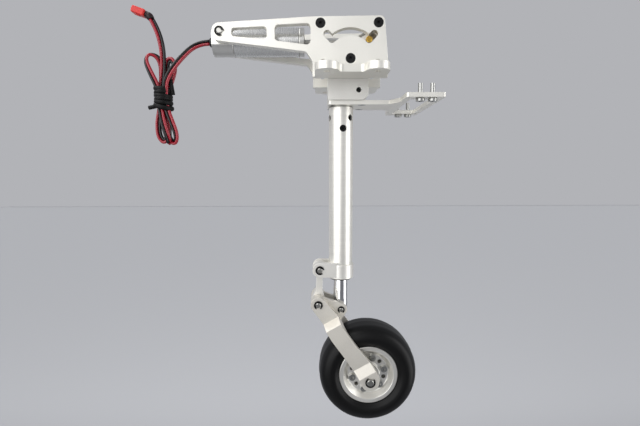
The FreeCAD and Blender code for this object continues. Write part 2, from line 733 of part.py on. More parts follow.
def fork_arm():
    """Far fork arm: offset in Y at both ends, stepped on the outside, eased inside."""
    side = slab_y(arm_outline, 0, 40)
    side = side.fuse(hull_y([(link_x, link_z, 4.5), (-10.3, -144.9, 5.0)], 0, 40))
    outer = [(-9, arm_lower), (4.2, arm_lower), (9.9, arm_mid), (38.4, arm_mid), (41.2, arm_upper), (60, arm_upper)]
    inner = [(60, lug_in), (36.6, lug_in), (31.4, arm_inner), (-9, arm_inner)]
    centre = vec(axle_x, 0, axle_z)
    up_arm = vec(fork_dx, 0, fork_dz)
    across_arm = vec(fork_dz, 0, -fork_dx)
    points = [centre + up_arm * reach + axis_y * width for reach, width in outer + inner + [outer[0]]]
    face = Part.Face(Part.makePolygon(points))
    face.translate(across_arm * -30)
    profile = face.extrude(across_arm * 60)
    arm = side.common(profile)
    lug = hull_y([(link_x, link_z, 4.2), (-12.8, -146.0, 3.0), (-6.6, -144.6, 2.4), (fork_x, fork_z, 3.6)],
                 lug_in, lug_out)
    arm = arm.fuse(lug).removeSplitter()
    arm = arm.cut(across(pin_r, link_x, link_z, 40))
    arm = arm.cut(across(fork_pin_r, fork_x, fork_z, 40))
    arm = arm.cut(across(axle_r, axle_x, axle_z, 40))
    return arm


far_arm = fork_arm()
bridge_x = -11.2
bridge_z = -145.6
bridge_r = 2.5
bridge = across(bridge_r, bridge_x, bridge_z, lug_in)
bridge = bridge.fuse(across(1.5, bridge_x, bridge_z, lug_in + 3))
bridge = bridge.removeSplitter()
far_arm = far_arm.cut(across(1.5, bridge_x, bridge_z, lug_in + 3))
near_arm = mirrored(far_arm)

link_groove = arm_upper + 0.05
link_pin = grooved_pin(pin_r, link_x, link_z, link_groove + clip_t + 0.5, link_groove)
link_clips = clip_pair(pin_r, 2.6, link_x, link_z, link_groove, -90)
fork_groove = lug_out + 0.05
fork_pin = grooved_pin(fork_pin_r, fork_x, fork_z, fork_groove + clip_t + 0.4, fork_groove)
fork_clips = clip_pair(fork_pin_r, 2.1, fork_x, fork_z, fork_groove, -90)
axle_groove = arm_lower + 0.05
axle = grooved_pin(axle_r, axle_x, axle_z, axle_groove + clip_t + 0.5, axle_groove)
axle_clips = clip_pair(axle_r, 3.0, axle_x, axle_z, axle_groove, 80)
spacer_in = rim_half - 1.0
axle_spacer = ring(2.9, axle_r, vec(axle_x, spacer_in, axle_z), arm_inner - spacer_in, axis_y)
axle_spacers = both_sides(axle_spacer)


# ---------------------------------------------------------------- wheel
def turned(profile):
    """Solid of revolution about the axle from (radius, y, corner) points."""
    corners = [(axle_x + point[0], point[1]) + tuple(point[2:]) for point in profile]
    face = Part.Face(Part.Wire(rounded_edges(corners)))
    face.translate(vec(0, 0, axle_z))
    return face.revolve(vec(axle_x, 0, axle_z), axis_y, 360)


hub_face = rim_half - 1.2
seat = hub_face - bearing_t
half_profile = [
    (hub_bore, 0), (6.9, 0), (6.9, 3.6), (13.4, 3.6), (13.4, 0), (16.2, 0), (16.2, 8.9, 1.2), (rim_r, 9.3),
    (rim_r, rim_half, 0.5), (15.2, rim_half, 0.4), (12.5, rim_web, 0.8), (6.9, rim_web, 0.6), (6.9, hub_face, 0.4),
    (bearing_r, hub_face), (bearing_r, seat), (hub_bore, seat),
]
rim_far = turned(half_profile)
rim_screws = []
rim_nuts = []
for index in range(6):
    angle = math.radians(60 * index + 15)
    x = axle_x + rim_screw_ring * math.cos(angle)
    z = axle_z + rim_screw_ring * math.sin(angle)
    rim_far = rim_far.cut(across(rim_screw_r, x, z, through))
    angle = math.radians(60 * index + 45)
    hole_x_at = axle_x + rim_screw_ring * math.cos(angle)
    hole_z_at = axle_z + rim_screw_ring * math.sin(angle)
    rim_far = rim_far.cut(across(1.3, hole_x_at, hole_z_at, through))
    rim_screws.append(cap_screw(rim_screw_r, 2.0, 1.5, 2 * rim_web + 2.8, vec(x, -rim_web, z), axis_y))
    nut = hexagon(2.3, vec(x, rim_web, z), 1.6, axis_y)
    rim_nuts.append(nut.cut(across(rim_screw_r, x, z, through)))
rim_near = mirrored(rim_far)
bearing = ring(bearing_r, axle_r + run_fit, vec(axle_x, seat, axle_z), bearing_t, axis_y)
bearings = both_sides(bearing)

tyre_half_profile = [
    (16.2, 8.9, 1.2), (rim_r, 9.3), (17.9, 10.9, 0.6), (20.4, 12.6, 3), (23.2, tyre_half, 5),
    (27.6, 11.6, 6), (29.6, 6.8, 8), (tyre_r, 0),
]
other_half = [(point[0], -point[1]) + tuple(point[2:]) for point in reversed(tyre_half_profile[:-1])]
tyre_profile = tyre_half_profile + other_half
tyre = turned(tyre_profile)

# ---------------------------------------------------------------- motor lead
gland_face = motor_rear - 2.5
tie_low = -17.6
tie_high = -8.9
loop_half = 2.6
bundle_half = 4.2
lead_front = -loop_half - lead_r - free_gap
lead_points = [
    vec(gland_face, 0, drive_z), vec(-88.5, 0, drive_z), vec(-97.8, lead_front, 8.4), vec(-106.4, lead_front, -2.0),
    vec(-106.4, lead_front, tie_high),
]
motor_lead = cord_tube("lead", lead_points, lead_r)

valley = 3.0              # where the tail leaves the loops
loops_outline = [
    (-112.8, tie_low), (-113.0, -6.0, 6), (-118.8, 3.0, 5), (-117.2, 12.8, 2.4), (-112.4, 10.8, 2),
    (-110.8, valley, 0.6), (-106.6, valley, 0.6), (-105.8, 10.2, 1.6), (-102.6, 9.4, 1.4), (-102.4, 1.0, 4),
    (-106.0, -7.0, 6), (-105.8, tie_low),
]
bundle_outline = [
    (-112.8, tie_low), (-105.8, tie_low), (-100.4, -26.0, 6), (-101.4, -39.2, 5), (-112.4, -39.2, 5),
    (-114.0, -26.0, 6),
]
hank = slab_y(loops_outline, -loop_half, loop_half)
hank = hank.fuse(slab_y(bundle_outline, -bundle_half, bundle_half)).removeSplitter()
tie_outer = [(-114.0, -5.6, 2.6), (-104.8, -5.6, 2.6), (-104.8, 5.6, 2.6), (-114.0, 5.6, 2.6)]
tie = slab_z(tie_outer, tie_low, tie_high)
tie = tie.fuse(box(-108.4, -105.4, -7.2, -5.4, tie_low + 2.6, tie_high - 2.2))
tie = tie.cut(hank).removeSplitter()

plug_dir = vec(-0.941, 0, 0.337).normalize()
plug_start = vec(-117.6, 0, 35.0)
sleeve_bend = plug_start - plug_dir * 2.2
tail_knee = vec(-111.2, 0, 26.6)
tail_dir = (sleeve_bend - tail_knee).normalize()
tail_end = sleeve_bend - tail_dir * 2.2
tail_points = [vec(-108.6, 0, valley), vec(-108.6, 0, 15.9), tail_knee, tail_end]
lead_tail = cord_tube("tail", tail_points, lead_r)

plug_turn = FreeCAD.Rotation(axis_x, plug_dir)


def plug_box(x0, x1, half_y, half_z):
    """Box along the plug's own axis, measured from the end of the sleeve."""
    body = box(x0, x1, -half_y, half_y, -half_z, half_z)
    body.Placement = FreeCAD.Placement(plug_start, plug_turn)
    return body


sleeve = cord_tube("sleeve", [tail_end, sleeve_bend, plug_start], lead_r + 0.35)
plug_len = 7.6
connector = plug_box(0, plug_len, 3.0, 1.9)
connector = connector.fuse(plug_box(3.0, 5.2, 1.0, 2.3)).removeSplitter()
contacts = []
for side in (-1, 1):
    socket = box(3.6, plug_len, side * 1.27 - 0.7, side * 1.27 + 0.7, -0.7, 0.7)
    socket.Placement = FreeCAD.Placement(plug_start, plug_turn)
    connector = connector.cut(socket)
    pin = box(3.6, plug_len - 0.6, side * 1.27 - 0.5, side * 1.27 + 0.5, -0.5, 0.5)
    pin.Placement = FreeCAD.Placement(plug_start, plug_turn)
    contacts.append(pin)

nodes = {
    "side_plate_near": near_plate,
    "side_plate_far": far_plate,
    "plate_posts": Part.makeCompound(posts),
    "plate_screws": Part.makeCompound(plate_screws),
    "pivot_pin": pivot_pin,
    "pivot_screws": Part.makeCompound(pivot_screws),
    "rear_pin": rear_pin,
    "rear_pin_clips": rear_clips,
    "rear_spacers": rear_spacers,
    "motor_end_cap": end_cap,
    "motor_tube": motor_tube,
    "motor_front_cap": front_cap,
    "motor_core": motor_core,
    "gearbox": gearbox,
    "cable_gland": gland,
    "lead_screw": lead_screw,
    "drive_nut": drive_nut,
    "trunnion_block": trunnion,
    "pivot_bushes": Part.makeCompound(pivot_bushes),
    "king_bush": king_bush,
    "king_retainer": retainer,
    "pinch_screw": pinch_screw,
    "cross_pin": cross_pin,
    "servo_bracket": bracket,
    "servo_screws": Part.makeCompound(servo_screws),
    "bracket_screws": Part.makeCompound(bracket_screws),
    "strut_washer": strut_washer,
    "strut_tube": strut_tube,
    "king_pin": king_pin,
    "tube_grub_screws": Part.makeCompound(tube_grubs),
    "lower_clamp": clamp,
    "clamp_grub_screw": clamp_grub,
    "clamp_pin": clamp_pin,
    "clamp_pin_clips": clamp_clips,
    "guide_bush": guide_bush,
    "strut_spring": spring,
    "piston_rod": rod,
    "piston_head": rod_head,
    "suspension_link": link,
    "fork_arm_near": near_arm,
    "fork_arm_far": far_arm,
    "fork_bridge": bridge,
    "link_pin": link_pin,
    "link_pin_clips": link_clips,
    "fork_pin": fork_pin,
    "fork_pin_clips": fork_clips,
    "axle": axle,
    "axle_clips": axle_clips,
    "axle_spacers": axle_spacers,
    "rim_near": rim_near,
    "rim_far": rim_far,
    "rim_screws": Part.makeCompound(rim_screws),
    "rim_nuts": Part.makeCompound(rim_nuts),
    "wheel_bearings": bearings,
    "tyre": tyre,
    "motor_lead": motor_lead,
    "lead_hank": hank,
    "lead_tie": tie,
    "lead_tail": lead_tail,
}
nodes["lead_connector"] = Part.makeCompound([sleeve, connector] + contacts)

os.makedirs("parts", exist_ok=True)
for name, shape in nodes.items():
    if not shape.isValid():
        print("not valid:", name)
    print(name, "solids", len(shape.Solids), "volume", round(shape.Volume, 1))
    shape.exportStep("parts/" + name + ".step")
print("nodes", len(nodes))
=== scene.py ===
# Studio scene of the retractable landing gear leg with its trailing fork wheel and twin motor lead.
import bpy
import json
import math
from mathutils import Matrix, Vector


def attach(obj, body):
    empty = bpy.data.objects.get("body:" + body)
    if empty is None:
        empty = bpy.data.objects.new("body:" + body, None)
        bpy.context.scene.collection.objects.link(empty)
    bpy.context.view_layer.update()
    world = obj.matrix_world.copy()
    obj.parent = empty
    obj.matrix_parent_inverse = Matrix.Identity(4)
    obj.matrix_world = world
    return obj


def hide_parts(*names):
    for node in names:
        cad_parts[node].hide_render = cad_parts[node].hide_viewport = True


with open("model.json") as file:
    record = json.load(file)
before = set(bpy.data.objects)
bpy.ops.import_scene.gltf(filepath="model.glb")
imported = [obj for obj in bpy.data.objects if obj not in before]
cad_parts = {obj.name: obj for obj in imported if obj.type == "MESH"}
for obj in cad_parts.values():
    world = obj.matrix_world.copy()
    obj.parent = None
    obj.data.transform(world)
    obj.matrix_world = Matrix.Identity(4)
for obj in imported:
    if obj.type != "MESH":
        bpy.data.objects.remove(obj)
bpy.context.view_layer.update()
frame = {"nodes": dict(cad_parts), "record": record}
bpy.ops.object.select_all(action="DESELECT")
millimetre = 0.001
print("stage: frame loaded")

# ---- camera, at eye level with the middle of the leg
cameraSettings = {
    "place": (-0.018323, -0.243043, -0.057168),
    "pitch": -0.0978,   # radians, down
    "yaw": 0.0058,
    "roll": -0.0024,
    "lens": 22.565,     # millimetres
    "sensor": 36,
    "nearest": 0.01,    # what is closer or farther than these isn't drawn
    "farthest": 60,
}
bpy.ops.object.camera_add(location=cameraSettings["place"])
camera = bpy.context.object
camera.name = "studioCamera"
camera.data.sensor_width = cameraSettings["sensor"]
camera.data.lens = cameraSettings["lens"]
camera.data.clip_start = cameraSettings["nearest"]
camera.data.clip_end = cameraSettings["farthest"]
turnAside = Matrix.Rotation(-cameraSettings["yaw"], 4, "Z")
turnDown = Matrix.Rotation(math.pi / 2 + cameraSettings["pitch"], 4, "X")
turnLevel = Matrix.Rotation(cameraSettings["roll"], 4, "Z")
camera.matrix_world = Matrix.Translation(cameraSettings["place"]) @ turnAside @ turnDown @ turnLevel
bpy.context.scene.camera = camera
bpy.context.scene.view_settings.view_transform = "Standard"
print("stage: camera")


# ---- material helpers
def hexColour(text):
    channels = [int(text[i:i + 2], 16) / 255 for i in (1, 3, 5)]
    linear = [c / 12.92 if c <= 0.04045 else ((c + 0.055) / 1.055) ** 2.4 for c in channels]
    return (*linear, 1.0)


def addNode(tree, kind, settings=None, links=None):
    node = tree.nodes.new(kind)
    for key, value in (settings or {}).items():
        if isinstance(key, int) or key in node.inputs:
            node.inputs[key].default_value = value
        else:
            setattr(node, key, value)
    for key, source in (links or {}).items():
        tree.links.new(source, node.inputs[key])
    return node


def newSurface(name, values):
    material = bpy.data.materials.new(name)
    material.use_nodes = True
    tree = material.node_tree
    shader = tree.nodes["Principled BSDF"]
    shader.inputs["Metallic"].default_value = values["metallic"]
    shader.inputs["Roughness"].default_value = values["roughness"]
    coords = addNode(tree, "ShaderNodeTexCoord").outputs["Object"]
    return material, tree, shader, coords


def noise(tree, size, detail, place):   # size is the width of one grain in millimetres
    return addNode(tree, "ShaderNodeTexNoise", {"Scale": 1 / (size * millimetre), "Detail": detail},
                   {"Vector": place}).outputs["Fac"]


def spread(tree, source, limits):
    return addNode(tree, "ShaderNodeMapRange", limits, {"Value": source}).outputs[0]


def twoTones(tree, values, share):
    colours = {"data_type": "RGBA", 6: hexColour(values["dark"]), 7: hexColour(values["light"])}
    return addNode(tree, "ShaderNodeMix", colours, {0: share}).outputs[2]


def addBump(tree, shader, depth, height, links):   # height in millimetres
    bump = addNode(tree, "ShaderNodeBump", {"Strength": depth, "Distance": height * millimetre}, links)
    tree.links.new(bump.outputs[0], shader.inputs["Normal"])


def grainedMetal(name, values, look):
    # Bare or anodised metal: a fine grain over a faint cloudy tone, with edges that catch the light
    material, tree, shader, coords = newSurface(name, values)
    place = coords
    if "axis" in values:   # lathe marks run round this axis, so the grain is drawn out across it
        stretch = [look["stretch"]] * 3
        stretch[values["axis"]] = 1.0
        place = addNode(tree, "ShaderNodeMapping", {"Scale": stretch}, {"Vector": coords}).outputs[0]
    grain = noise(tree, values["grain"], look["detail"], place)
    cloud = noise(tree, look["cloud"], look["cloudDetail"], coords)
    tone = twoTones(tree, values, cloud)
    speck = spread(tree, grain, {"From Min": look["grainLow"], "From Max": look["grainHigh"],
                                 "To Min": look["darkest"], "To Max": look["lightest"]})
    multiply = {"data_type": "RGBA", "blend_type": "MULTIPLY", 0: 1.0}
    shade = addNode(tree, "ShaderNodeMix", multiply, {6: tone, 7: speck})
    tree.links.new(shade.outputs[2], shader.inputs["Base Color"])
    low, high = values["roughness"] - look["polish"], values["roughness"] + look["polish"]
    polish = spread(tree, grain if "axis" in values else cloud, {"To Min": low, "To Max": high})
    tree.links.new(polish, shader.inputs["Roughness"])
    rounding = {"samples": look["samples"], "Radius": values["edge"] * millimetre}
    edge = addNode(tree, "ShaderNodeBevel", rounding)
    addBump(tree, shader, values["depth"], look["bump"], {"Height": grain, "Normal": edge.outputs[0]})
    return material


def mouldedStuff(name, values, look):
    # Moulded rubber, nylon or silicone: two close tones, a fine leathery skin, no metal
    material, tree, shader, coords = newSurface(name, dict(values, metallic=0.0))
    skin = noise(tree, values["grain"], look["detail"], coords)
    tree.links.new(twoTones(tree, values, skin), shader.inputs["Base Color"])
    low, high = values["roughness"] - look["polish"], values["roughness"] + look["polish"]
    tree.links.new(spread(tree, skin, {"To Min": low, "To Max": high}), shader.inputs["Roughness"])
    shader.inputs["Specular IOR Level"].default_value = values["gloss"]
    addBump(tree, shader, values["depth"], look["bump"], {"Height": skin})
    return material


# ---- finishes, grain in millimetres
blastedFinishes = {
    "bead-blasted anodised plate": {   # near white and even, its satin hides the mill marks
        "light": "#EFEDE6", "dark": "#E4E2DA", "metallic": 0.75, "roughness": 0.46,
        "grain": 0.25, "depth": 0.5, "edge": 0.25},
    "bead-blasted anodised block": {   # a touch greyer than the plates, so the block reads apart
        "light": "#EAE8E2", "dark": "#DEDCD6", "metallic": 0.75, "roughness": 0.44,
        "grain": 0.25, "depth": 0.5, "edge": 0.3},
    "bead-blasted anodised fork": {   # warmer and duller than the plates, so it stands off the rim
        "light": "#DDD9D0", "dark": "#D0CCC3", "metallic": 0.75, "roughness": 0.5,
        "grain": 0.3, "depth": 0.6, "edge": 0.25},
    "black oxide alloy steel": {   # deep grey black with a low sheen on screw heads
        "light": "#1B1B1C", "dark": "#0E0E0F", "metallic": 0.55, "roughness": 0.42,
        "grain": 0.2, "depth": 0.4, "edge": 0.12},
    "black spring steel": {   # thin dark ring that sets off each bright pin
        "light": "#161616", "dark": "#0B0B0B", "metallic": 0.6, "roughness": 0.38,
        "grain": 0.2, "depth": 0.3, "edge": 0.1},
    "zinc plated steel": {   # dull silver with soft glints on small screws
        "light": "#B9B9B6", "dark": "#9C9C99", "metallic": 1.0, "roughness": 0.3,
        "grain": 0.2, "depth": 0.3, "edge": 0.12},
    "enamelled motor can": {   # cool mid grey inside the bright sleeve
        "light": "#7E8184", "dark": "#6B6E71", "metallic": 0.8, "roughness": 0.35,
        "grain": 0.3, "depth": 0.2, "edge": 0.15},
}
turnedFinishes = {
    "anodised drawn tube": {   # long satin streaks along the leg, with faint draw rings
        "light": "#ECEAE3", "dark": "#E2E0D9", "metallic": 0.75, "roughness": 0.4,
        "grain": 0.35, "depth": 0.25, "edge": 0.2, "axis": 2},
    "turned aluminium": {   # bright rings on posts, caps and spacers
        "light": "#D9D8D4", "dark": "#C8C7C3", "metallic": 1.0, "roughness": 0.3,
        "grain": 0.2, "depth": 0.4, "edge": 0.15, "axis": 1},
    "turned rim aluminium": {   # pale cone with a broad bright arc
        "light": "#F0EEE8", "dark": "#E2E0DA", "metallic": 0.85, "roughness": 0.36,
        "grain": 0.3, "depth": 0.5, "edge": 0.2, "axis": 1},
    "drawn motor sleeve": {   # bright cylinder behind the plates' windows, with fine hoops
        "light": "#DCDCDA", "dark": "#CCCCCA", "metallic": 0.95, "roughness": 0.27,
        "grain": 0.25, "depth": 0.3, "edge": 0.2, "axis": 0},
    "ground steel": {   # plain grey pin ends
        "light": "#B8B7B2", "dark": "#A09F9A", "metallic": 1.0, "roughness": 0.28,
        "grain": 0.15, "depth": 0.3, "edge": 0.1, "axis": 1},
    "chromed steel rod": {   # clear white, grey and dark bands up the rod
        "light": "#F1F1F1", "dark": "#E6E6E8", "metallic": 1.0, "roughness": 0.12,
        "grain": 0.4, "depth": 0.05, "edge": 0.15, "axis": 2},
    "bright spring steel": {   # thin glinting coils
        "light": "#C4C4C2", "dark": "#AFAFAD", "metallic": 1.0, "roughness": 0.25,
        "grain": 0.2, "depth": 0.2, "edge": 0.05, "axis": 2},
    "bearing steel": {   # bright ring deep in the hub
        "light": "#C9C9C8", "dark": "#B3B3B2", "metallic": 1.0, "roughness": 0.22,
        "grain": 0.25, "depth": 0.3, "edge": 0.1, "axis": 1},
    "turned brass": {   # small warm spots in the plates' arc slots and the plug
        "light": "#D9B45C", "dark": "#C79C40", "metallic": 1.0, "roughness": 0.27,
        "grain": 0.15, "depth": 0.4, "edge": 0.15, "axis": 1},
}
mouldedFinishes = {
    "black acetal": {   # soft black bushes inside the tube
        "light": "#1A1A1A", "dark": "#101010", "roughness": 0.42,
        "grain": 0.3, "depth": 0.3, "gloss": 0.4},
    "black moulded rubber": {   # flat black where the lead comes out
        "light": "#141414", "dark": "#0C0C0C", "roughness": 0.6,
        "grain": 0.25, "depth": 0.4, "gloss": 0.3},
    "tyre rubber": {   # near black with one wide, faint highlight
        "light": "#060607", "dark": "#030303", "roughness": 0.42,
        "grain": 0.35, "depth": 0.5, "gloss": 0.2},
    "red silicone insulation": {   # glossy dark red with a pinkish line of light
        "light": "#A8142A", "dark": "#7E0A1C", "roughness": 0.27,
        "grain": 0.5, "depth": 0.12, "gloss": 0.6},
    "black silicone insulation": {   # glossy black beside the red
        "light": "#0D0A0B", "dark": "#050404", "roughness": 0.3,
        "grain": 0.5, "depth": 0.12, "gloss": 0.45},
    "black paper twist tie": {   # matt black, so the windings stay quiet
        "light": "#101010", "dark": "#050505", "roughness": 0.55,
        "grain": 0.4, "depth": 0.7, "gloss": 0.2},
    "red moulded nylon": {   # the brightest red, on the plug
        "light": "#D8322C", "dark": "#BE2420", "roughness": 0.36,
        "grain": 0.35, "depth": 0.2, "gloss": 0.4},
    "black heat-shrink sleeve": {   # brownish black collar behind the plug
        "light": "#2A1416", "dark": "#120A0B", "roughness": 0.4,
        "grain": 0.5, "depth": 0.3, "gloss": 0.35},
}
metalLook = {   # what every metal shares
    "cloudDetail": 2.0,
    "grainLow": 0.3,     # the noise from here to grainHigh runs from darkest to lightest
    "grainHigh": 0.7,
    "lightest": 1.03,
    "samples": 4,
    "bump": 0.02,
}
# cloud and bump in millimetres, polish is how far the roughness swings either way
blastedLook = {**metalLook, "detail": 3.0, "cloud": 18, "darkest": 0.94, "polish": 0.05}
turnedLook = {**metalLook, "detail": 4.0, "cloud": 12, "darkest": 0.93, "polish": 0.04, "stretch": 0.02}
mouldedLook = {"detail": 5.0, "polish": 0.08, "bump": 0.03}
finishes = {}
for table, makeSurface, look in [(blastedFinishes, grainedMetal, blastedLook),
                                 (turnedFinishes, grainedMetal, turnedLook),
                                 (mouldedFinishes, mouldedStuff, mouldedLook)]:
    for name, values in table.items():
        finishes[name] = makeSurface(name, values, look)

slotFinish = {
    "anodised_plate": "bead-blasted anodised plate", "anodised_block": "bead-blasted anodised block",
    "anodised_tube": "anodised drawn tube", "anodised_fork": "bead-blasted anodised fork",
    "turned_aluminium": "turned aluminium", "turned_rim": "turned rim aluminium",
    "ground_steel": "ground steel", "chromed_rod": "chromed steel rod",
    "spring_steel": "bright spring steel", "black_spring_steel": "black spring steel",
    "black_steel": "black oxide alloy steel", "zinc_screw": "zinc plated steel",
    "bearing_steel": "bearing steel", "brass": "turned brass",
    "motor_sleeve": "drawn motor sleeve", "motor_can": "enamelled motor can",
    "black_acetal": "black acetal", "black_rubber": "black moulded rubber",
    "tyre_rubber": "tyre rubber", "lead_wire": "red silicone insulation",
    "black_tie": "black paper twist tie", "red_plug": "red moulded nylon",
}
nodeFinish = {   # pieces whose surface differs from the rest of their slot
    "plate_screws": "black oxide alloy steel", "pivot_screws": "black oxide alloy steel",
    "drive_nut": "turned aluminium", "king_bush": "ground steel", "strut_washer": "ground steel",
    "guide_bush": "black acetal",
}
for part in frame["record"]["subparts"]:
    node = frame["nodes"][part["node"]]
    node.data.materials.clear()
    finish = nodeFinish.get(part["node"], slotFinish[part["material_slot"]])
    node.data.materials.append(finishes[finish])
print("stage: finishes on the frame")

# ---- twin motor lead: one flat pair of wires, folded into a hank under the motor
leadSettings = {
    "wire": 0.00175,    # outside diameter of one wire
    "sides": 12,
    "steps": 10,        # points from one control point to the next
    "smooth": 3,        # order of the spline
}
# control points of the whole lead, with the pair's turn out of the hank's plane in degrees
leadRoute = [
    (-0.0808, 0.0, 0.0190, 0), (-0.0885, 0.0, 0.0190, 0), (-0.0978, -0.00435, 0.0084, 0),
    (-0.1058, -0.00435, -0.0020, 0), (-0.1070, -0.0036, -0.0095, 0), (-0.1074, -0.0019, -0.0175, 0),
    (-0.1046, -0.0026, -0.0250, 10), (-0.1014, -0.0022, -0.0340, 25), (-0.1028, -0.0008, -0.0392, 40),
    (-0.1070, 0.0014, -0.0370, 25), (-0.1096, 0.0024, -0.0280, 10), (-0.1109, 0.0019, -0.0180, 0),
    (-0.1109, 0.0019, -0.0095, 0), (-0.1102, 0.0019, 0.0005, 5), (-0.1100, 0.0016, 0.0072, 20),
    (-0.1124, 0.0010, 0.0118, 55), (-0.1168, -0.0004, 0.0128, 75), (-0.1184, -0.0016, 0.0086, 40),
    (-0.1152, -0.0026, 0.0014, 15), (-0.1116, -0.0026, -0.0060, 0), (-0.1109, -0.0019, -0.0120, 0),
    (-0.1104, -0.0020, -0.0190, 0), (-0.1090, -0.0030, -0.0270, -10), (-0.1066, -0.0030, -0.0355, -25),
    (-0.1064, 0.0002, -0.0394, -45), (-0.1076, 0.0024, -0.0335, -25), (-0.1076, 0.0024, -0.0240, 0),
    (-0.1074, 0.0019, -0.0170, 0), (-0.1074, 0.0019, -0.0090, 0), (-0.1076, 0.0018, 0.0015, 0),
    (-0.1069, 0.0014, 0.0090, 20), (-0.1037, 0.0008, 0.0102, 40), (-0.1018, 0.0004, 0.0054, 25),
    (-0.1038, 0.0002, -0.0016, 0), (-0.1070, 0.0000, -0.0090, 0), (-0.1074, 0.0000, -0.0170, 0),
    (-0.1082, 0.0002, -0.0250, 0), (-0.1074, 0.0002, -0.0330, 15), (-0.1092, 0.0000, -0.0388, 35),
    (-0.1127, 0.0000, -0.0350, 20), (-0.1129, -0.0002, -0.0265, 0), (-0.1110, 0.0000, -0.0180, 0),
    (-0.1106, -0.0002, -0.0090, 0), (-0.1092, -0.0006, -0.0010, 0), (-0.1086, 0.0, 0.0050, 0),
    (-0.1086, 0.0, 0.0159, 10), (-0.1112, 0.0, 0.0266, 25), (-0.11445, 0.0, 0.03235, 40),
]


def splinePoints(points):
    curve = bpy.data.curves.new("route", "CURVE")
    curve.dimensions = "3D"
    curve.resolution_u = leadSettings["steps"]
    spline = curve.splines.new("NURBS")
    spline.points.add(len(points) - 1)
    for place, point in zip(spline.points, points):
        place.co = (*point, 1.0)
    spline.order_u = leadSettings["smooth"]
    spline.use_endpoint_u = True
    holder = bpy.data.objects.new("route", curve)
    bpy.context.scene.collection.objects.link(holder)
    bpy.context.view_layer.update()
    line = bpy.data.meshes.new_from_object(holder.evaluated_get(bpy.context.evaluated_depsgraph_get()))
    found = [v.co.copy() for v in line.vertices]
    bpy.data.objects.remove(holder)
    return found


routePoints = [Vector(p[:3]) for p in leadRoute]
path = splinePoints(routePoints)
# the turn follows the same spline, laid along a straight line
turnPoints = splinePoints([Vector((i, p[3], 0)) for i, p in enumerate(leadRoute)])


def aheadAt(line, index):
    return (line[min(index + 1, len(line) - 1)] - line[max(index - 1, 0)]).normalized()


def pairDirections(line, turns):
    directions = []
    for index in range(len(line)):
        ahead = aheadAt(line, index)
        flat = ahead.cross(Vector((0, 1, 0))).normalized()
        directions.append((ahead, Matrix.Rotation(math.radians(turns[index].y), 3, ahead) @ flat))
    return directions


def tubePiece(name, rings, sides, finish):
    # each ring is its centre, the way ahead, a direction across and its radius
    vertices, faces = [], []
    for centre, ahead, flat, radius in rings:
        up = ahead.cross(flat)
        for step in range(sides):
            angle = 2 * math.pi * step / sides
            vertices.append(centre + (flat * math.cos(angle) + up * math.sin(angle)) * radius)
    for ringIndex in range(len(rings) - 1):
        for step in range(sides):
            a = ringIndex * sides + step
            b = ringIndex * sides + (step + 1) % sides
            faces.append((a, b, b + sides, a + sides))
    faces.append(tuple(reversed(range(sides))))
    faces.append(tuple(range(len(vertices) - sides, len(vertices))))
    mesh = bpy.data.meshes.new(name)
    mesh.from_pydata(vertices, [], faces)
    mesh.shade_smooth()
    mesh.materials.append(finishes[finish])
    piece = bpy.data.objects.new(name, mesh)
    bpy.context.scene.collection.objects.link(piece)
    return piece


def wireRings(side):   # side 1 is the red wire and -1 the black one
    radius = leadSettings["wire"] / 2
    return [(point + flat * side * radius, ahead, flat, radius)
            for point, (ahead, flat) in zip(path, directions)]


def joinPieces(name, pieces):
    bpy.ops.object.select_all(action="DESELECT")
    for piece in pieces:
        piece.select_set(True)
    bpy.context.view_layer.objects.active = pieces[0]
    bpy.ops.object.join()
    joined = bpy.context.object
    joined.name = name
    joined.data.name = name
    joined.select_set(False)
    return joined


directions = pairDirections(path, turnPoints)
redWire = tubePiece("redWire", wireRings(1), leadSettings["sides"], "red silicone insulation")
blackWire = tubePiece("blackWire", wireRings(-1), leadSettings["sides"], "black silicone insulation")
twinLead = joinPieces("twinLead", [redWire, blackWire])


def applyPlace(piece):
    bpy.ops.object.select_all(action="DESELECT")
    piece.select_set(True)
    bpy.context.view_layer.objects.active = piece
    bpy.ops.object.transform_apply(location=True, rotation=True, scale=True)
    piece.select_set(False)


def bevelPiece(piece, width, segments):
    modifier = piece.modifiers.new("softEdge", "BEVEL")
    modifier.width = width
    modifier.segments = segments
    modifier.limit_method = "ANGLE"
    bpy.context.view_layer.objects.active = piece
    bpy.ops.object.modifier_apply(modifier=modifier.name)


def paintPiece(piece, finish):
    piece.data.materials.clear()
    piece.data.materials.append(finishes[finish])


# ---- black twist tie: oval windings round the hank's waist, one knotted end and one loose tab
tieSettings = {   # millimetres and degrees
    "windings": [   # height, tilt, half width
        (-7.6, 8, 4.3), (-9.6, -5, 4.1), (-11.5, 5, 4.2),
        (-13.4, -4, 4.1), (-15.2, 6, 4.3), (-17.6, 15, 4.8),
    ],
    "centre": -109.2,
    "halfDepth": 4.6,
    "thick": 1.15,
    "broaden": 1.25,   # the section is taller than it is thick
    "around": 36,
    "section": 10,
    "ends": [   # place, turn, half size: the knot and the tab
        ((-114.6, -2.4, -18.0), (0, 78, 0), (1.2, 1.2, 2.6)),
        ((-103.4, -2.2, -6.8), (8, -6, 0), (1.3, 0.5, 4.4)),
    ],
    "endSides": 16,
    "edge": 0.25,
}
tiePieces = []
for height, tilt, halfWidth in tieSettings["windings"]:
    bpy.ops.mesh.primitive_torus_add(
        location=(tieSettings["centre"] * millimetre, 0, height * millimetre),
        rotation=(math.radians(tilt / 2), math.radians(tilt), 0),
        major_segments=tieSettings["around"], minor_segments=tieSettings["section"],
        major_radius=halfWidth * millimetre, minor_radius=tieSettings["thick"] * millimetre)
    winding = bpy.context.object
    winding.scale = (1, tieSettings["halfDepth"] / halfWidth, tieSettings["broaden"])
    applyPlace(winding)
    tiePieces.append(winding)
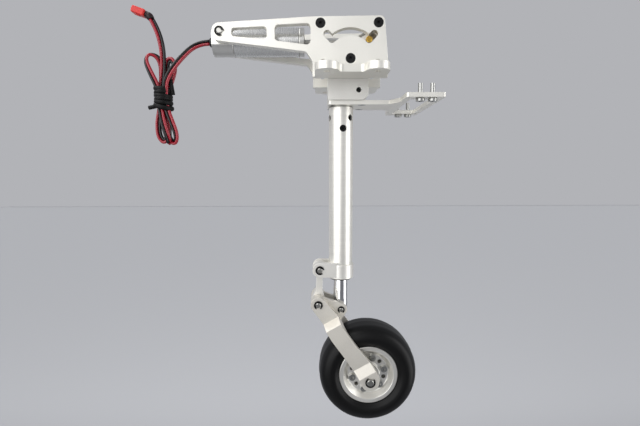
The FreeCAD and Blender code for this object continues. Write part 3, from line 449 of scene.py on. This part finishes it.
for place, turn, size in tieSettings["ends"]:
    bpy.ops.mesh.primitive_cylinder_add(
        vertices=tieSettings["endSides"], radius=millimetre, depth=2 * millimetre,
        location=[value * millimetre for value in place],
        rotation=[math.radians(value) for value in turn])
    end = bpy.context.object
    end.scale = size
    applyPlace(end)
    tiePieces.append(end)
leadTie = joinPieces("leadTie", tiePieces)
bevelPiece(leadTie, tieSettings["edge"] * millimetre, 2)
paintPiece(leadTie, "black paper twist tie")
leadTie.data.shade_smooth()
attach(leadTie, "actuator")
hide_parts("lead_tie")
print("stage: lead tie")

# ---- plug: a heat-shrink elbow, a red housing with a rib and two raised mouths, and its contacts
plugSettings = {   # metres, along the plug's own axis
    "start": (-0.1176, 0.0, 0.0350),       # where the housing leaves the sleeve
    "heading": (-0.941, 0.0, 0.337),
    "length": 0.0076,
    "halfHeight": 0.0019,
    "halfWidth": 0.0030,
    "shoulder": (0.0007, 4),               # rounding of the housing and its steps
    "edge": (0.0002, 2),                   # rounding of the rib and the mouths
    "rib": (0.0022, 0.0020, 0.0006),
    "ribPlace": 0.0041,
    "mouth": (0.0006, 0.0015, 0.0015),
    "contact": (0.0006, 0.0009, 0.0009),
    "pitch": 0.00254,                      # between the two contacts
    "proud": 0.0001,                       # how far rib, mouths and contacts step out
    "sleeve": 0.0021,                      # radius of the shrunk sleeve where it is widest
    "sleeveNeck": 0.86,                    # share of that radius at its thin end
    "sleeveRun": 0.0022,                   # from the elbow to the housing
    "sleeveRise": 1.3,                     # how soon the sleeve reaches its widest and comes back
    "sleeveSides": 20,
}


def cubePiece(name, centre, size):
    bpy.ops.mesh.primitive_cube_add(size=1, location=centre)
    piece = bpy.context.object
    piece.name = name
    piece.scale = size
    applyPlace(piece)
    return piece


plugLength, proud = plugSettings["length"], plugSettings["proud"]
contactPlaces = [side * plugSettings["pitch"] / 2 for side in (-1, 1)]
housing = cubePiece("housing", (plugLength / 2, 0, 0),
                    (plugLength, 2 * plugSettings["halfWidth"], 2 * plugSettings["halfHeight"]))
bevelPiece(housing, *plugSettings["shoulder"])
ribCentre = (plugSettings["ribPlace"], 0, plugSettings["halfHeight"] + proud)
shells = [housing, cubePiece("rib", ribCentre, plugSettings["rib"])]
shells += [cubePiece("mouth", (plugLength + proud, y, 0), plugSettings["mouth"]) for y in contactPlaces]
for shell in shells[1:]:
    bevelPiece(shell, *plugSettings["edge"])
plugBody = joinPieces("plugBody", shells)
paintPiece(plugBody, "red moulded nylon")
plugContacts = joinPieces("plugContacts", [
    cubePiece("contact", (plugLength + 2 * proud, y, 0), plugSettings["contact"]) for y in contactPlaces])
paintPiece(plugContacts, "turned brass")
leadPlug = joinPieces("leadPlug", [plugBody, plugContacts])
heading = Vector(plugSettings["heading"])
leadPlug.rotation_mode = "QUATERNION"
leadPlug.rotation_quaternion = Vector((1, 0, 0)).rotation_difference(heading)
leadPlug.location = plugSettings["start"]
applyPlace(leadPlug)

plugStart = Vector(plugSettings["start"])
elbow = plugStart - heading.normalized() * plugSettings["sleeveRun"]
sleevePath = splinePoints([routePoints[-1], elbow, plugStart])
neck = plugSettings["sleeveNeck"]
sleeveRings = []
for index, point in enumerate(sleevePath):
    share = index / (len(sleevePath) - 1)
    swell = neck + (1 - neck) * math.sin(math.pi * min(share * plugSettings["sleeveRise"], 1))
    ahead = aheadAt(sleevePath, index)
    sleeveRings.append((point, ahead, Vector((0, 1, 0)), plugSettings["sleeve"] * swell))
shrunkSleeve = tubePiece("shrunkSleeve", sleeveRings, plugSettings["sleeveSides"], "black heat-shrink sleeve")
leadPlug = joinPieces("leadPlug", [leadPlug, shrunkSleeve])
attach(leadPlug, "actuator")
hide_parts("lead_connector")
print("stage: lead plug")

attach(twinLead, "actuator")
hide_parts("motor_lead", "lead_hank", "lead_tail")

# ---- floor and light
studio = {
    "backdrop": "#B2B3B7",
    "floor": "#A8A9AC",
    "floorHeight": -1.2,
    "floorSize": 28,
}
world = bpy.data.worlds.new("studioWorld")
bpy.context.scene.world = world
world.use_nodes = True
backdrop = world.node_tree.nodes["Background"]
backdrop.inputs["Color"].default_value = hexColour(studio["backdrop"])
backdrop.inputs["Strength"].default_value = 1.0
bpy.ops.mesh.primitive_plane_add(size=studio["floorSize"], location=(0, 0, studio["floorHeight"]))
floor = bpy.context.object
floor.name = "studioFloor"
# Matt pale paint: an even ground with no glare
paint = bpy.data.materials.new("matt pale paint")
paint.use_nodes = True
paintShader = paint.node_tree.nodes["Principled BSDF"]
paintShader.inputs["Base Color"].default_value = hexColour(studio["floor"])
paintShader.inputs["Roughness"].default_value = 1.0
paintShader.inputs["Specular IOR Level"].default_value = 0.0
floor.data.materials.append(paint)

softBoxes = {   # place in metres, width, height, power in watts; each one faces the middle of the leg
    "leftBox": ((-0.80, -0.95, 0.20), 1.5, 1.7, 17.0),
    "rightBox": ((1.15, -0.42, -0.10), 0.65, 1.7, 10.5),
    "topBox": ((-0.75, 0.05, 1.05), 1.3, 0.9, 12.0),
}
legMiddle = Vector((-0.02, 0, -0.08))
floorWash = {   # light straight down on the floor behind the leg, so it meets the backdrop softly
    "place": (0, 7.6, 1.2),
    "width": 28,
    "depth": 12.8,
    "power": 760.0,
    "spread": 30,   # degrees
}


def areaLamp(name, place, width, height, power):
    bpy.ops.object.light_add(type="AREA", location=place)
    lamp = bpy.context.object
    lamp.name = name
    lamp.data.shape = "RECTANGLE"
    lamp.data.size = width
    lamp.data.size_y = height
    lamp.data.energy = power
    return lamp


for name, (place, width, height, power) in softBoxes.items():
    lamp = areaLamp(name, place, width, height, power)
    lamp.rotation_mode = "QUATERNION"
    lamp.rotation_quaternion = (legMiddle - Vector(place)).to_track_quat("-Z", "Y")
wash = areaLamp("floorWash", floorWash["place"], floorWash["width"], floorWash["depth"], floorWash["power"])
wash.data.spread = math.radians(floorWash["spread"])
wash.visible_camera = False
print("stage: studio")
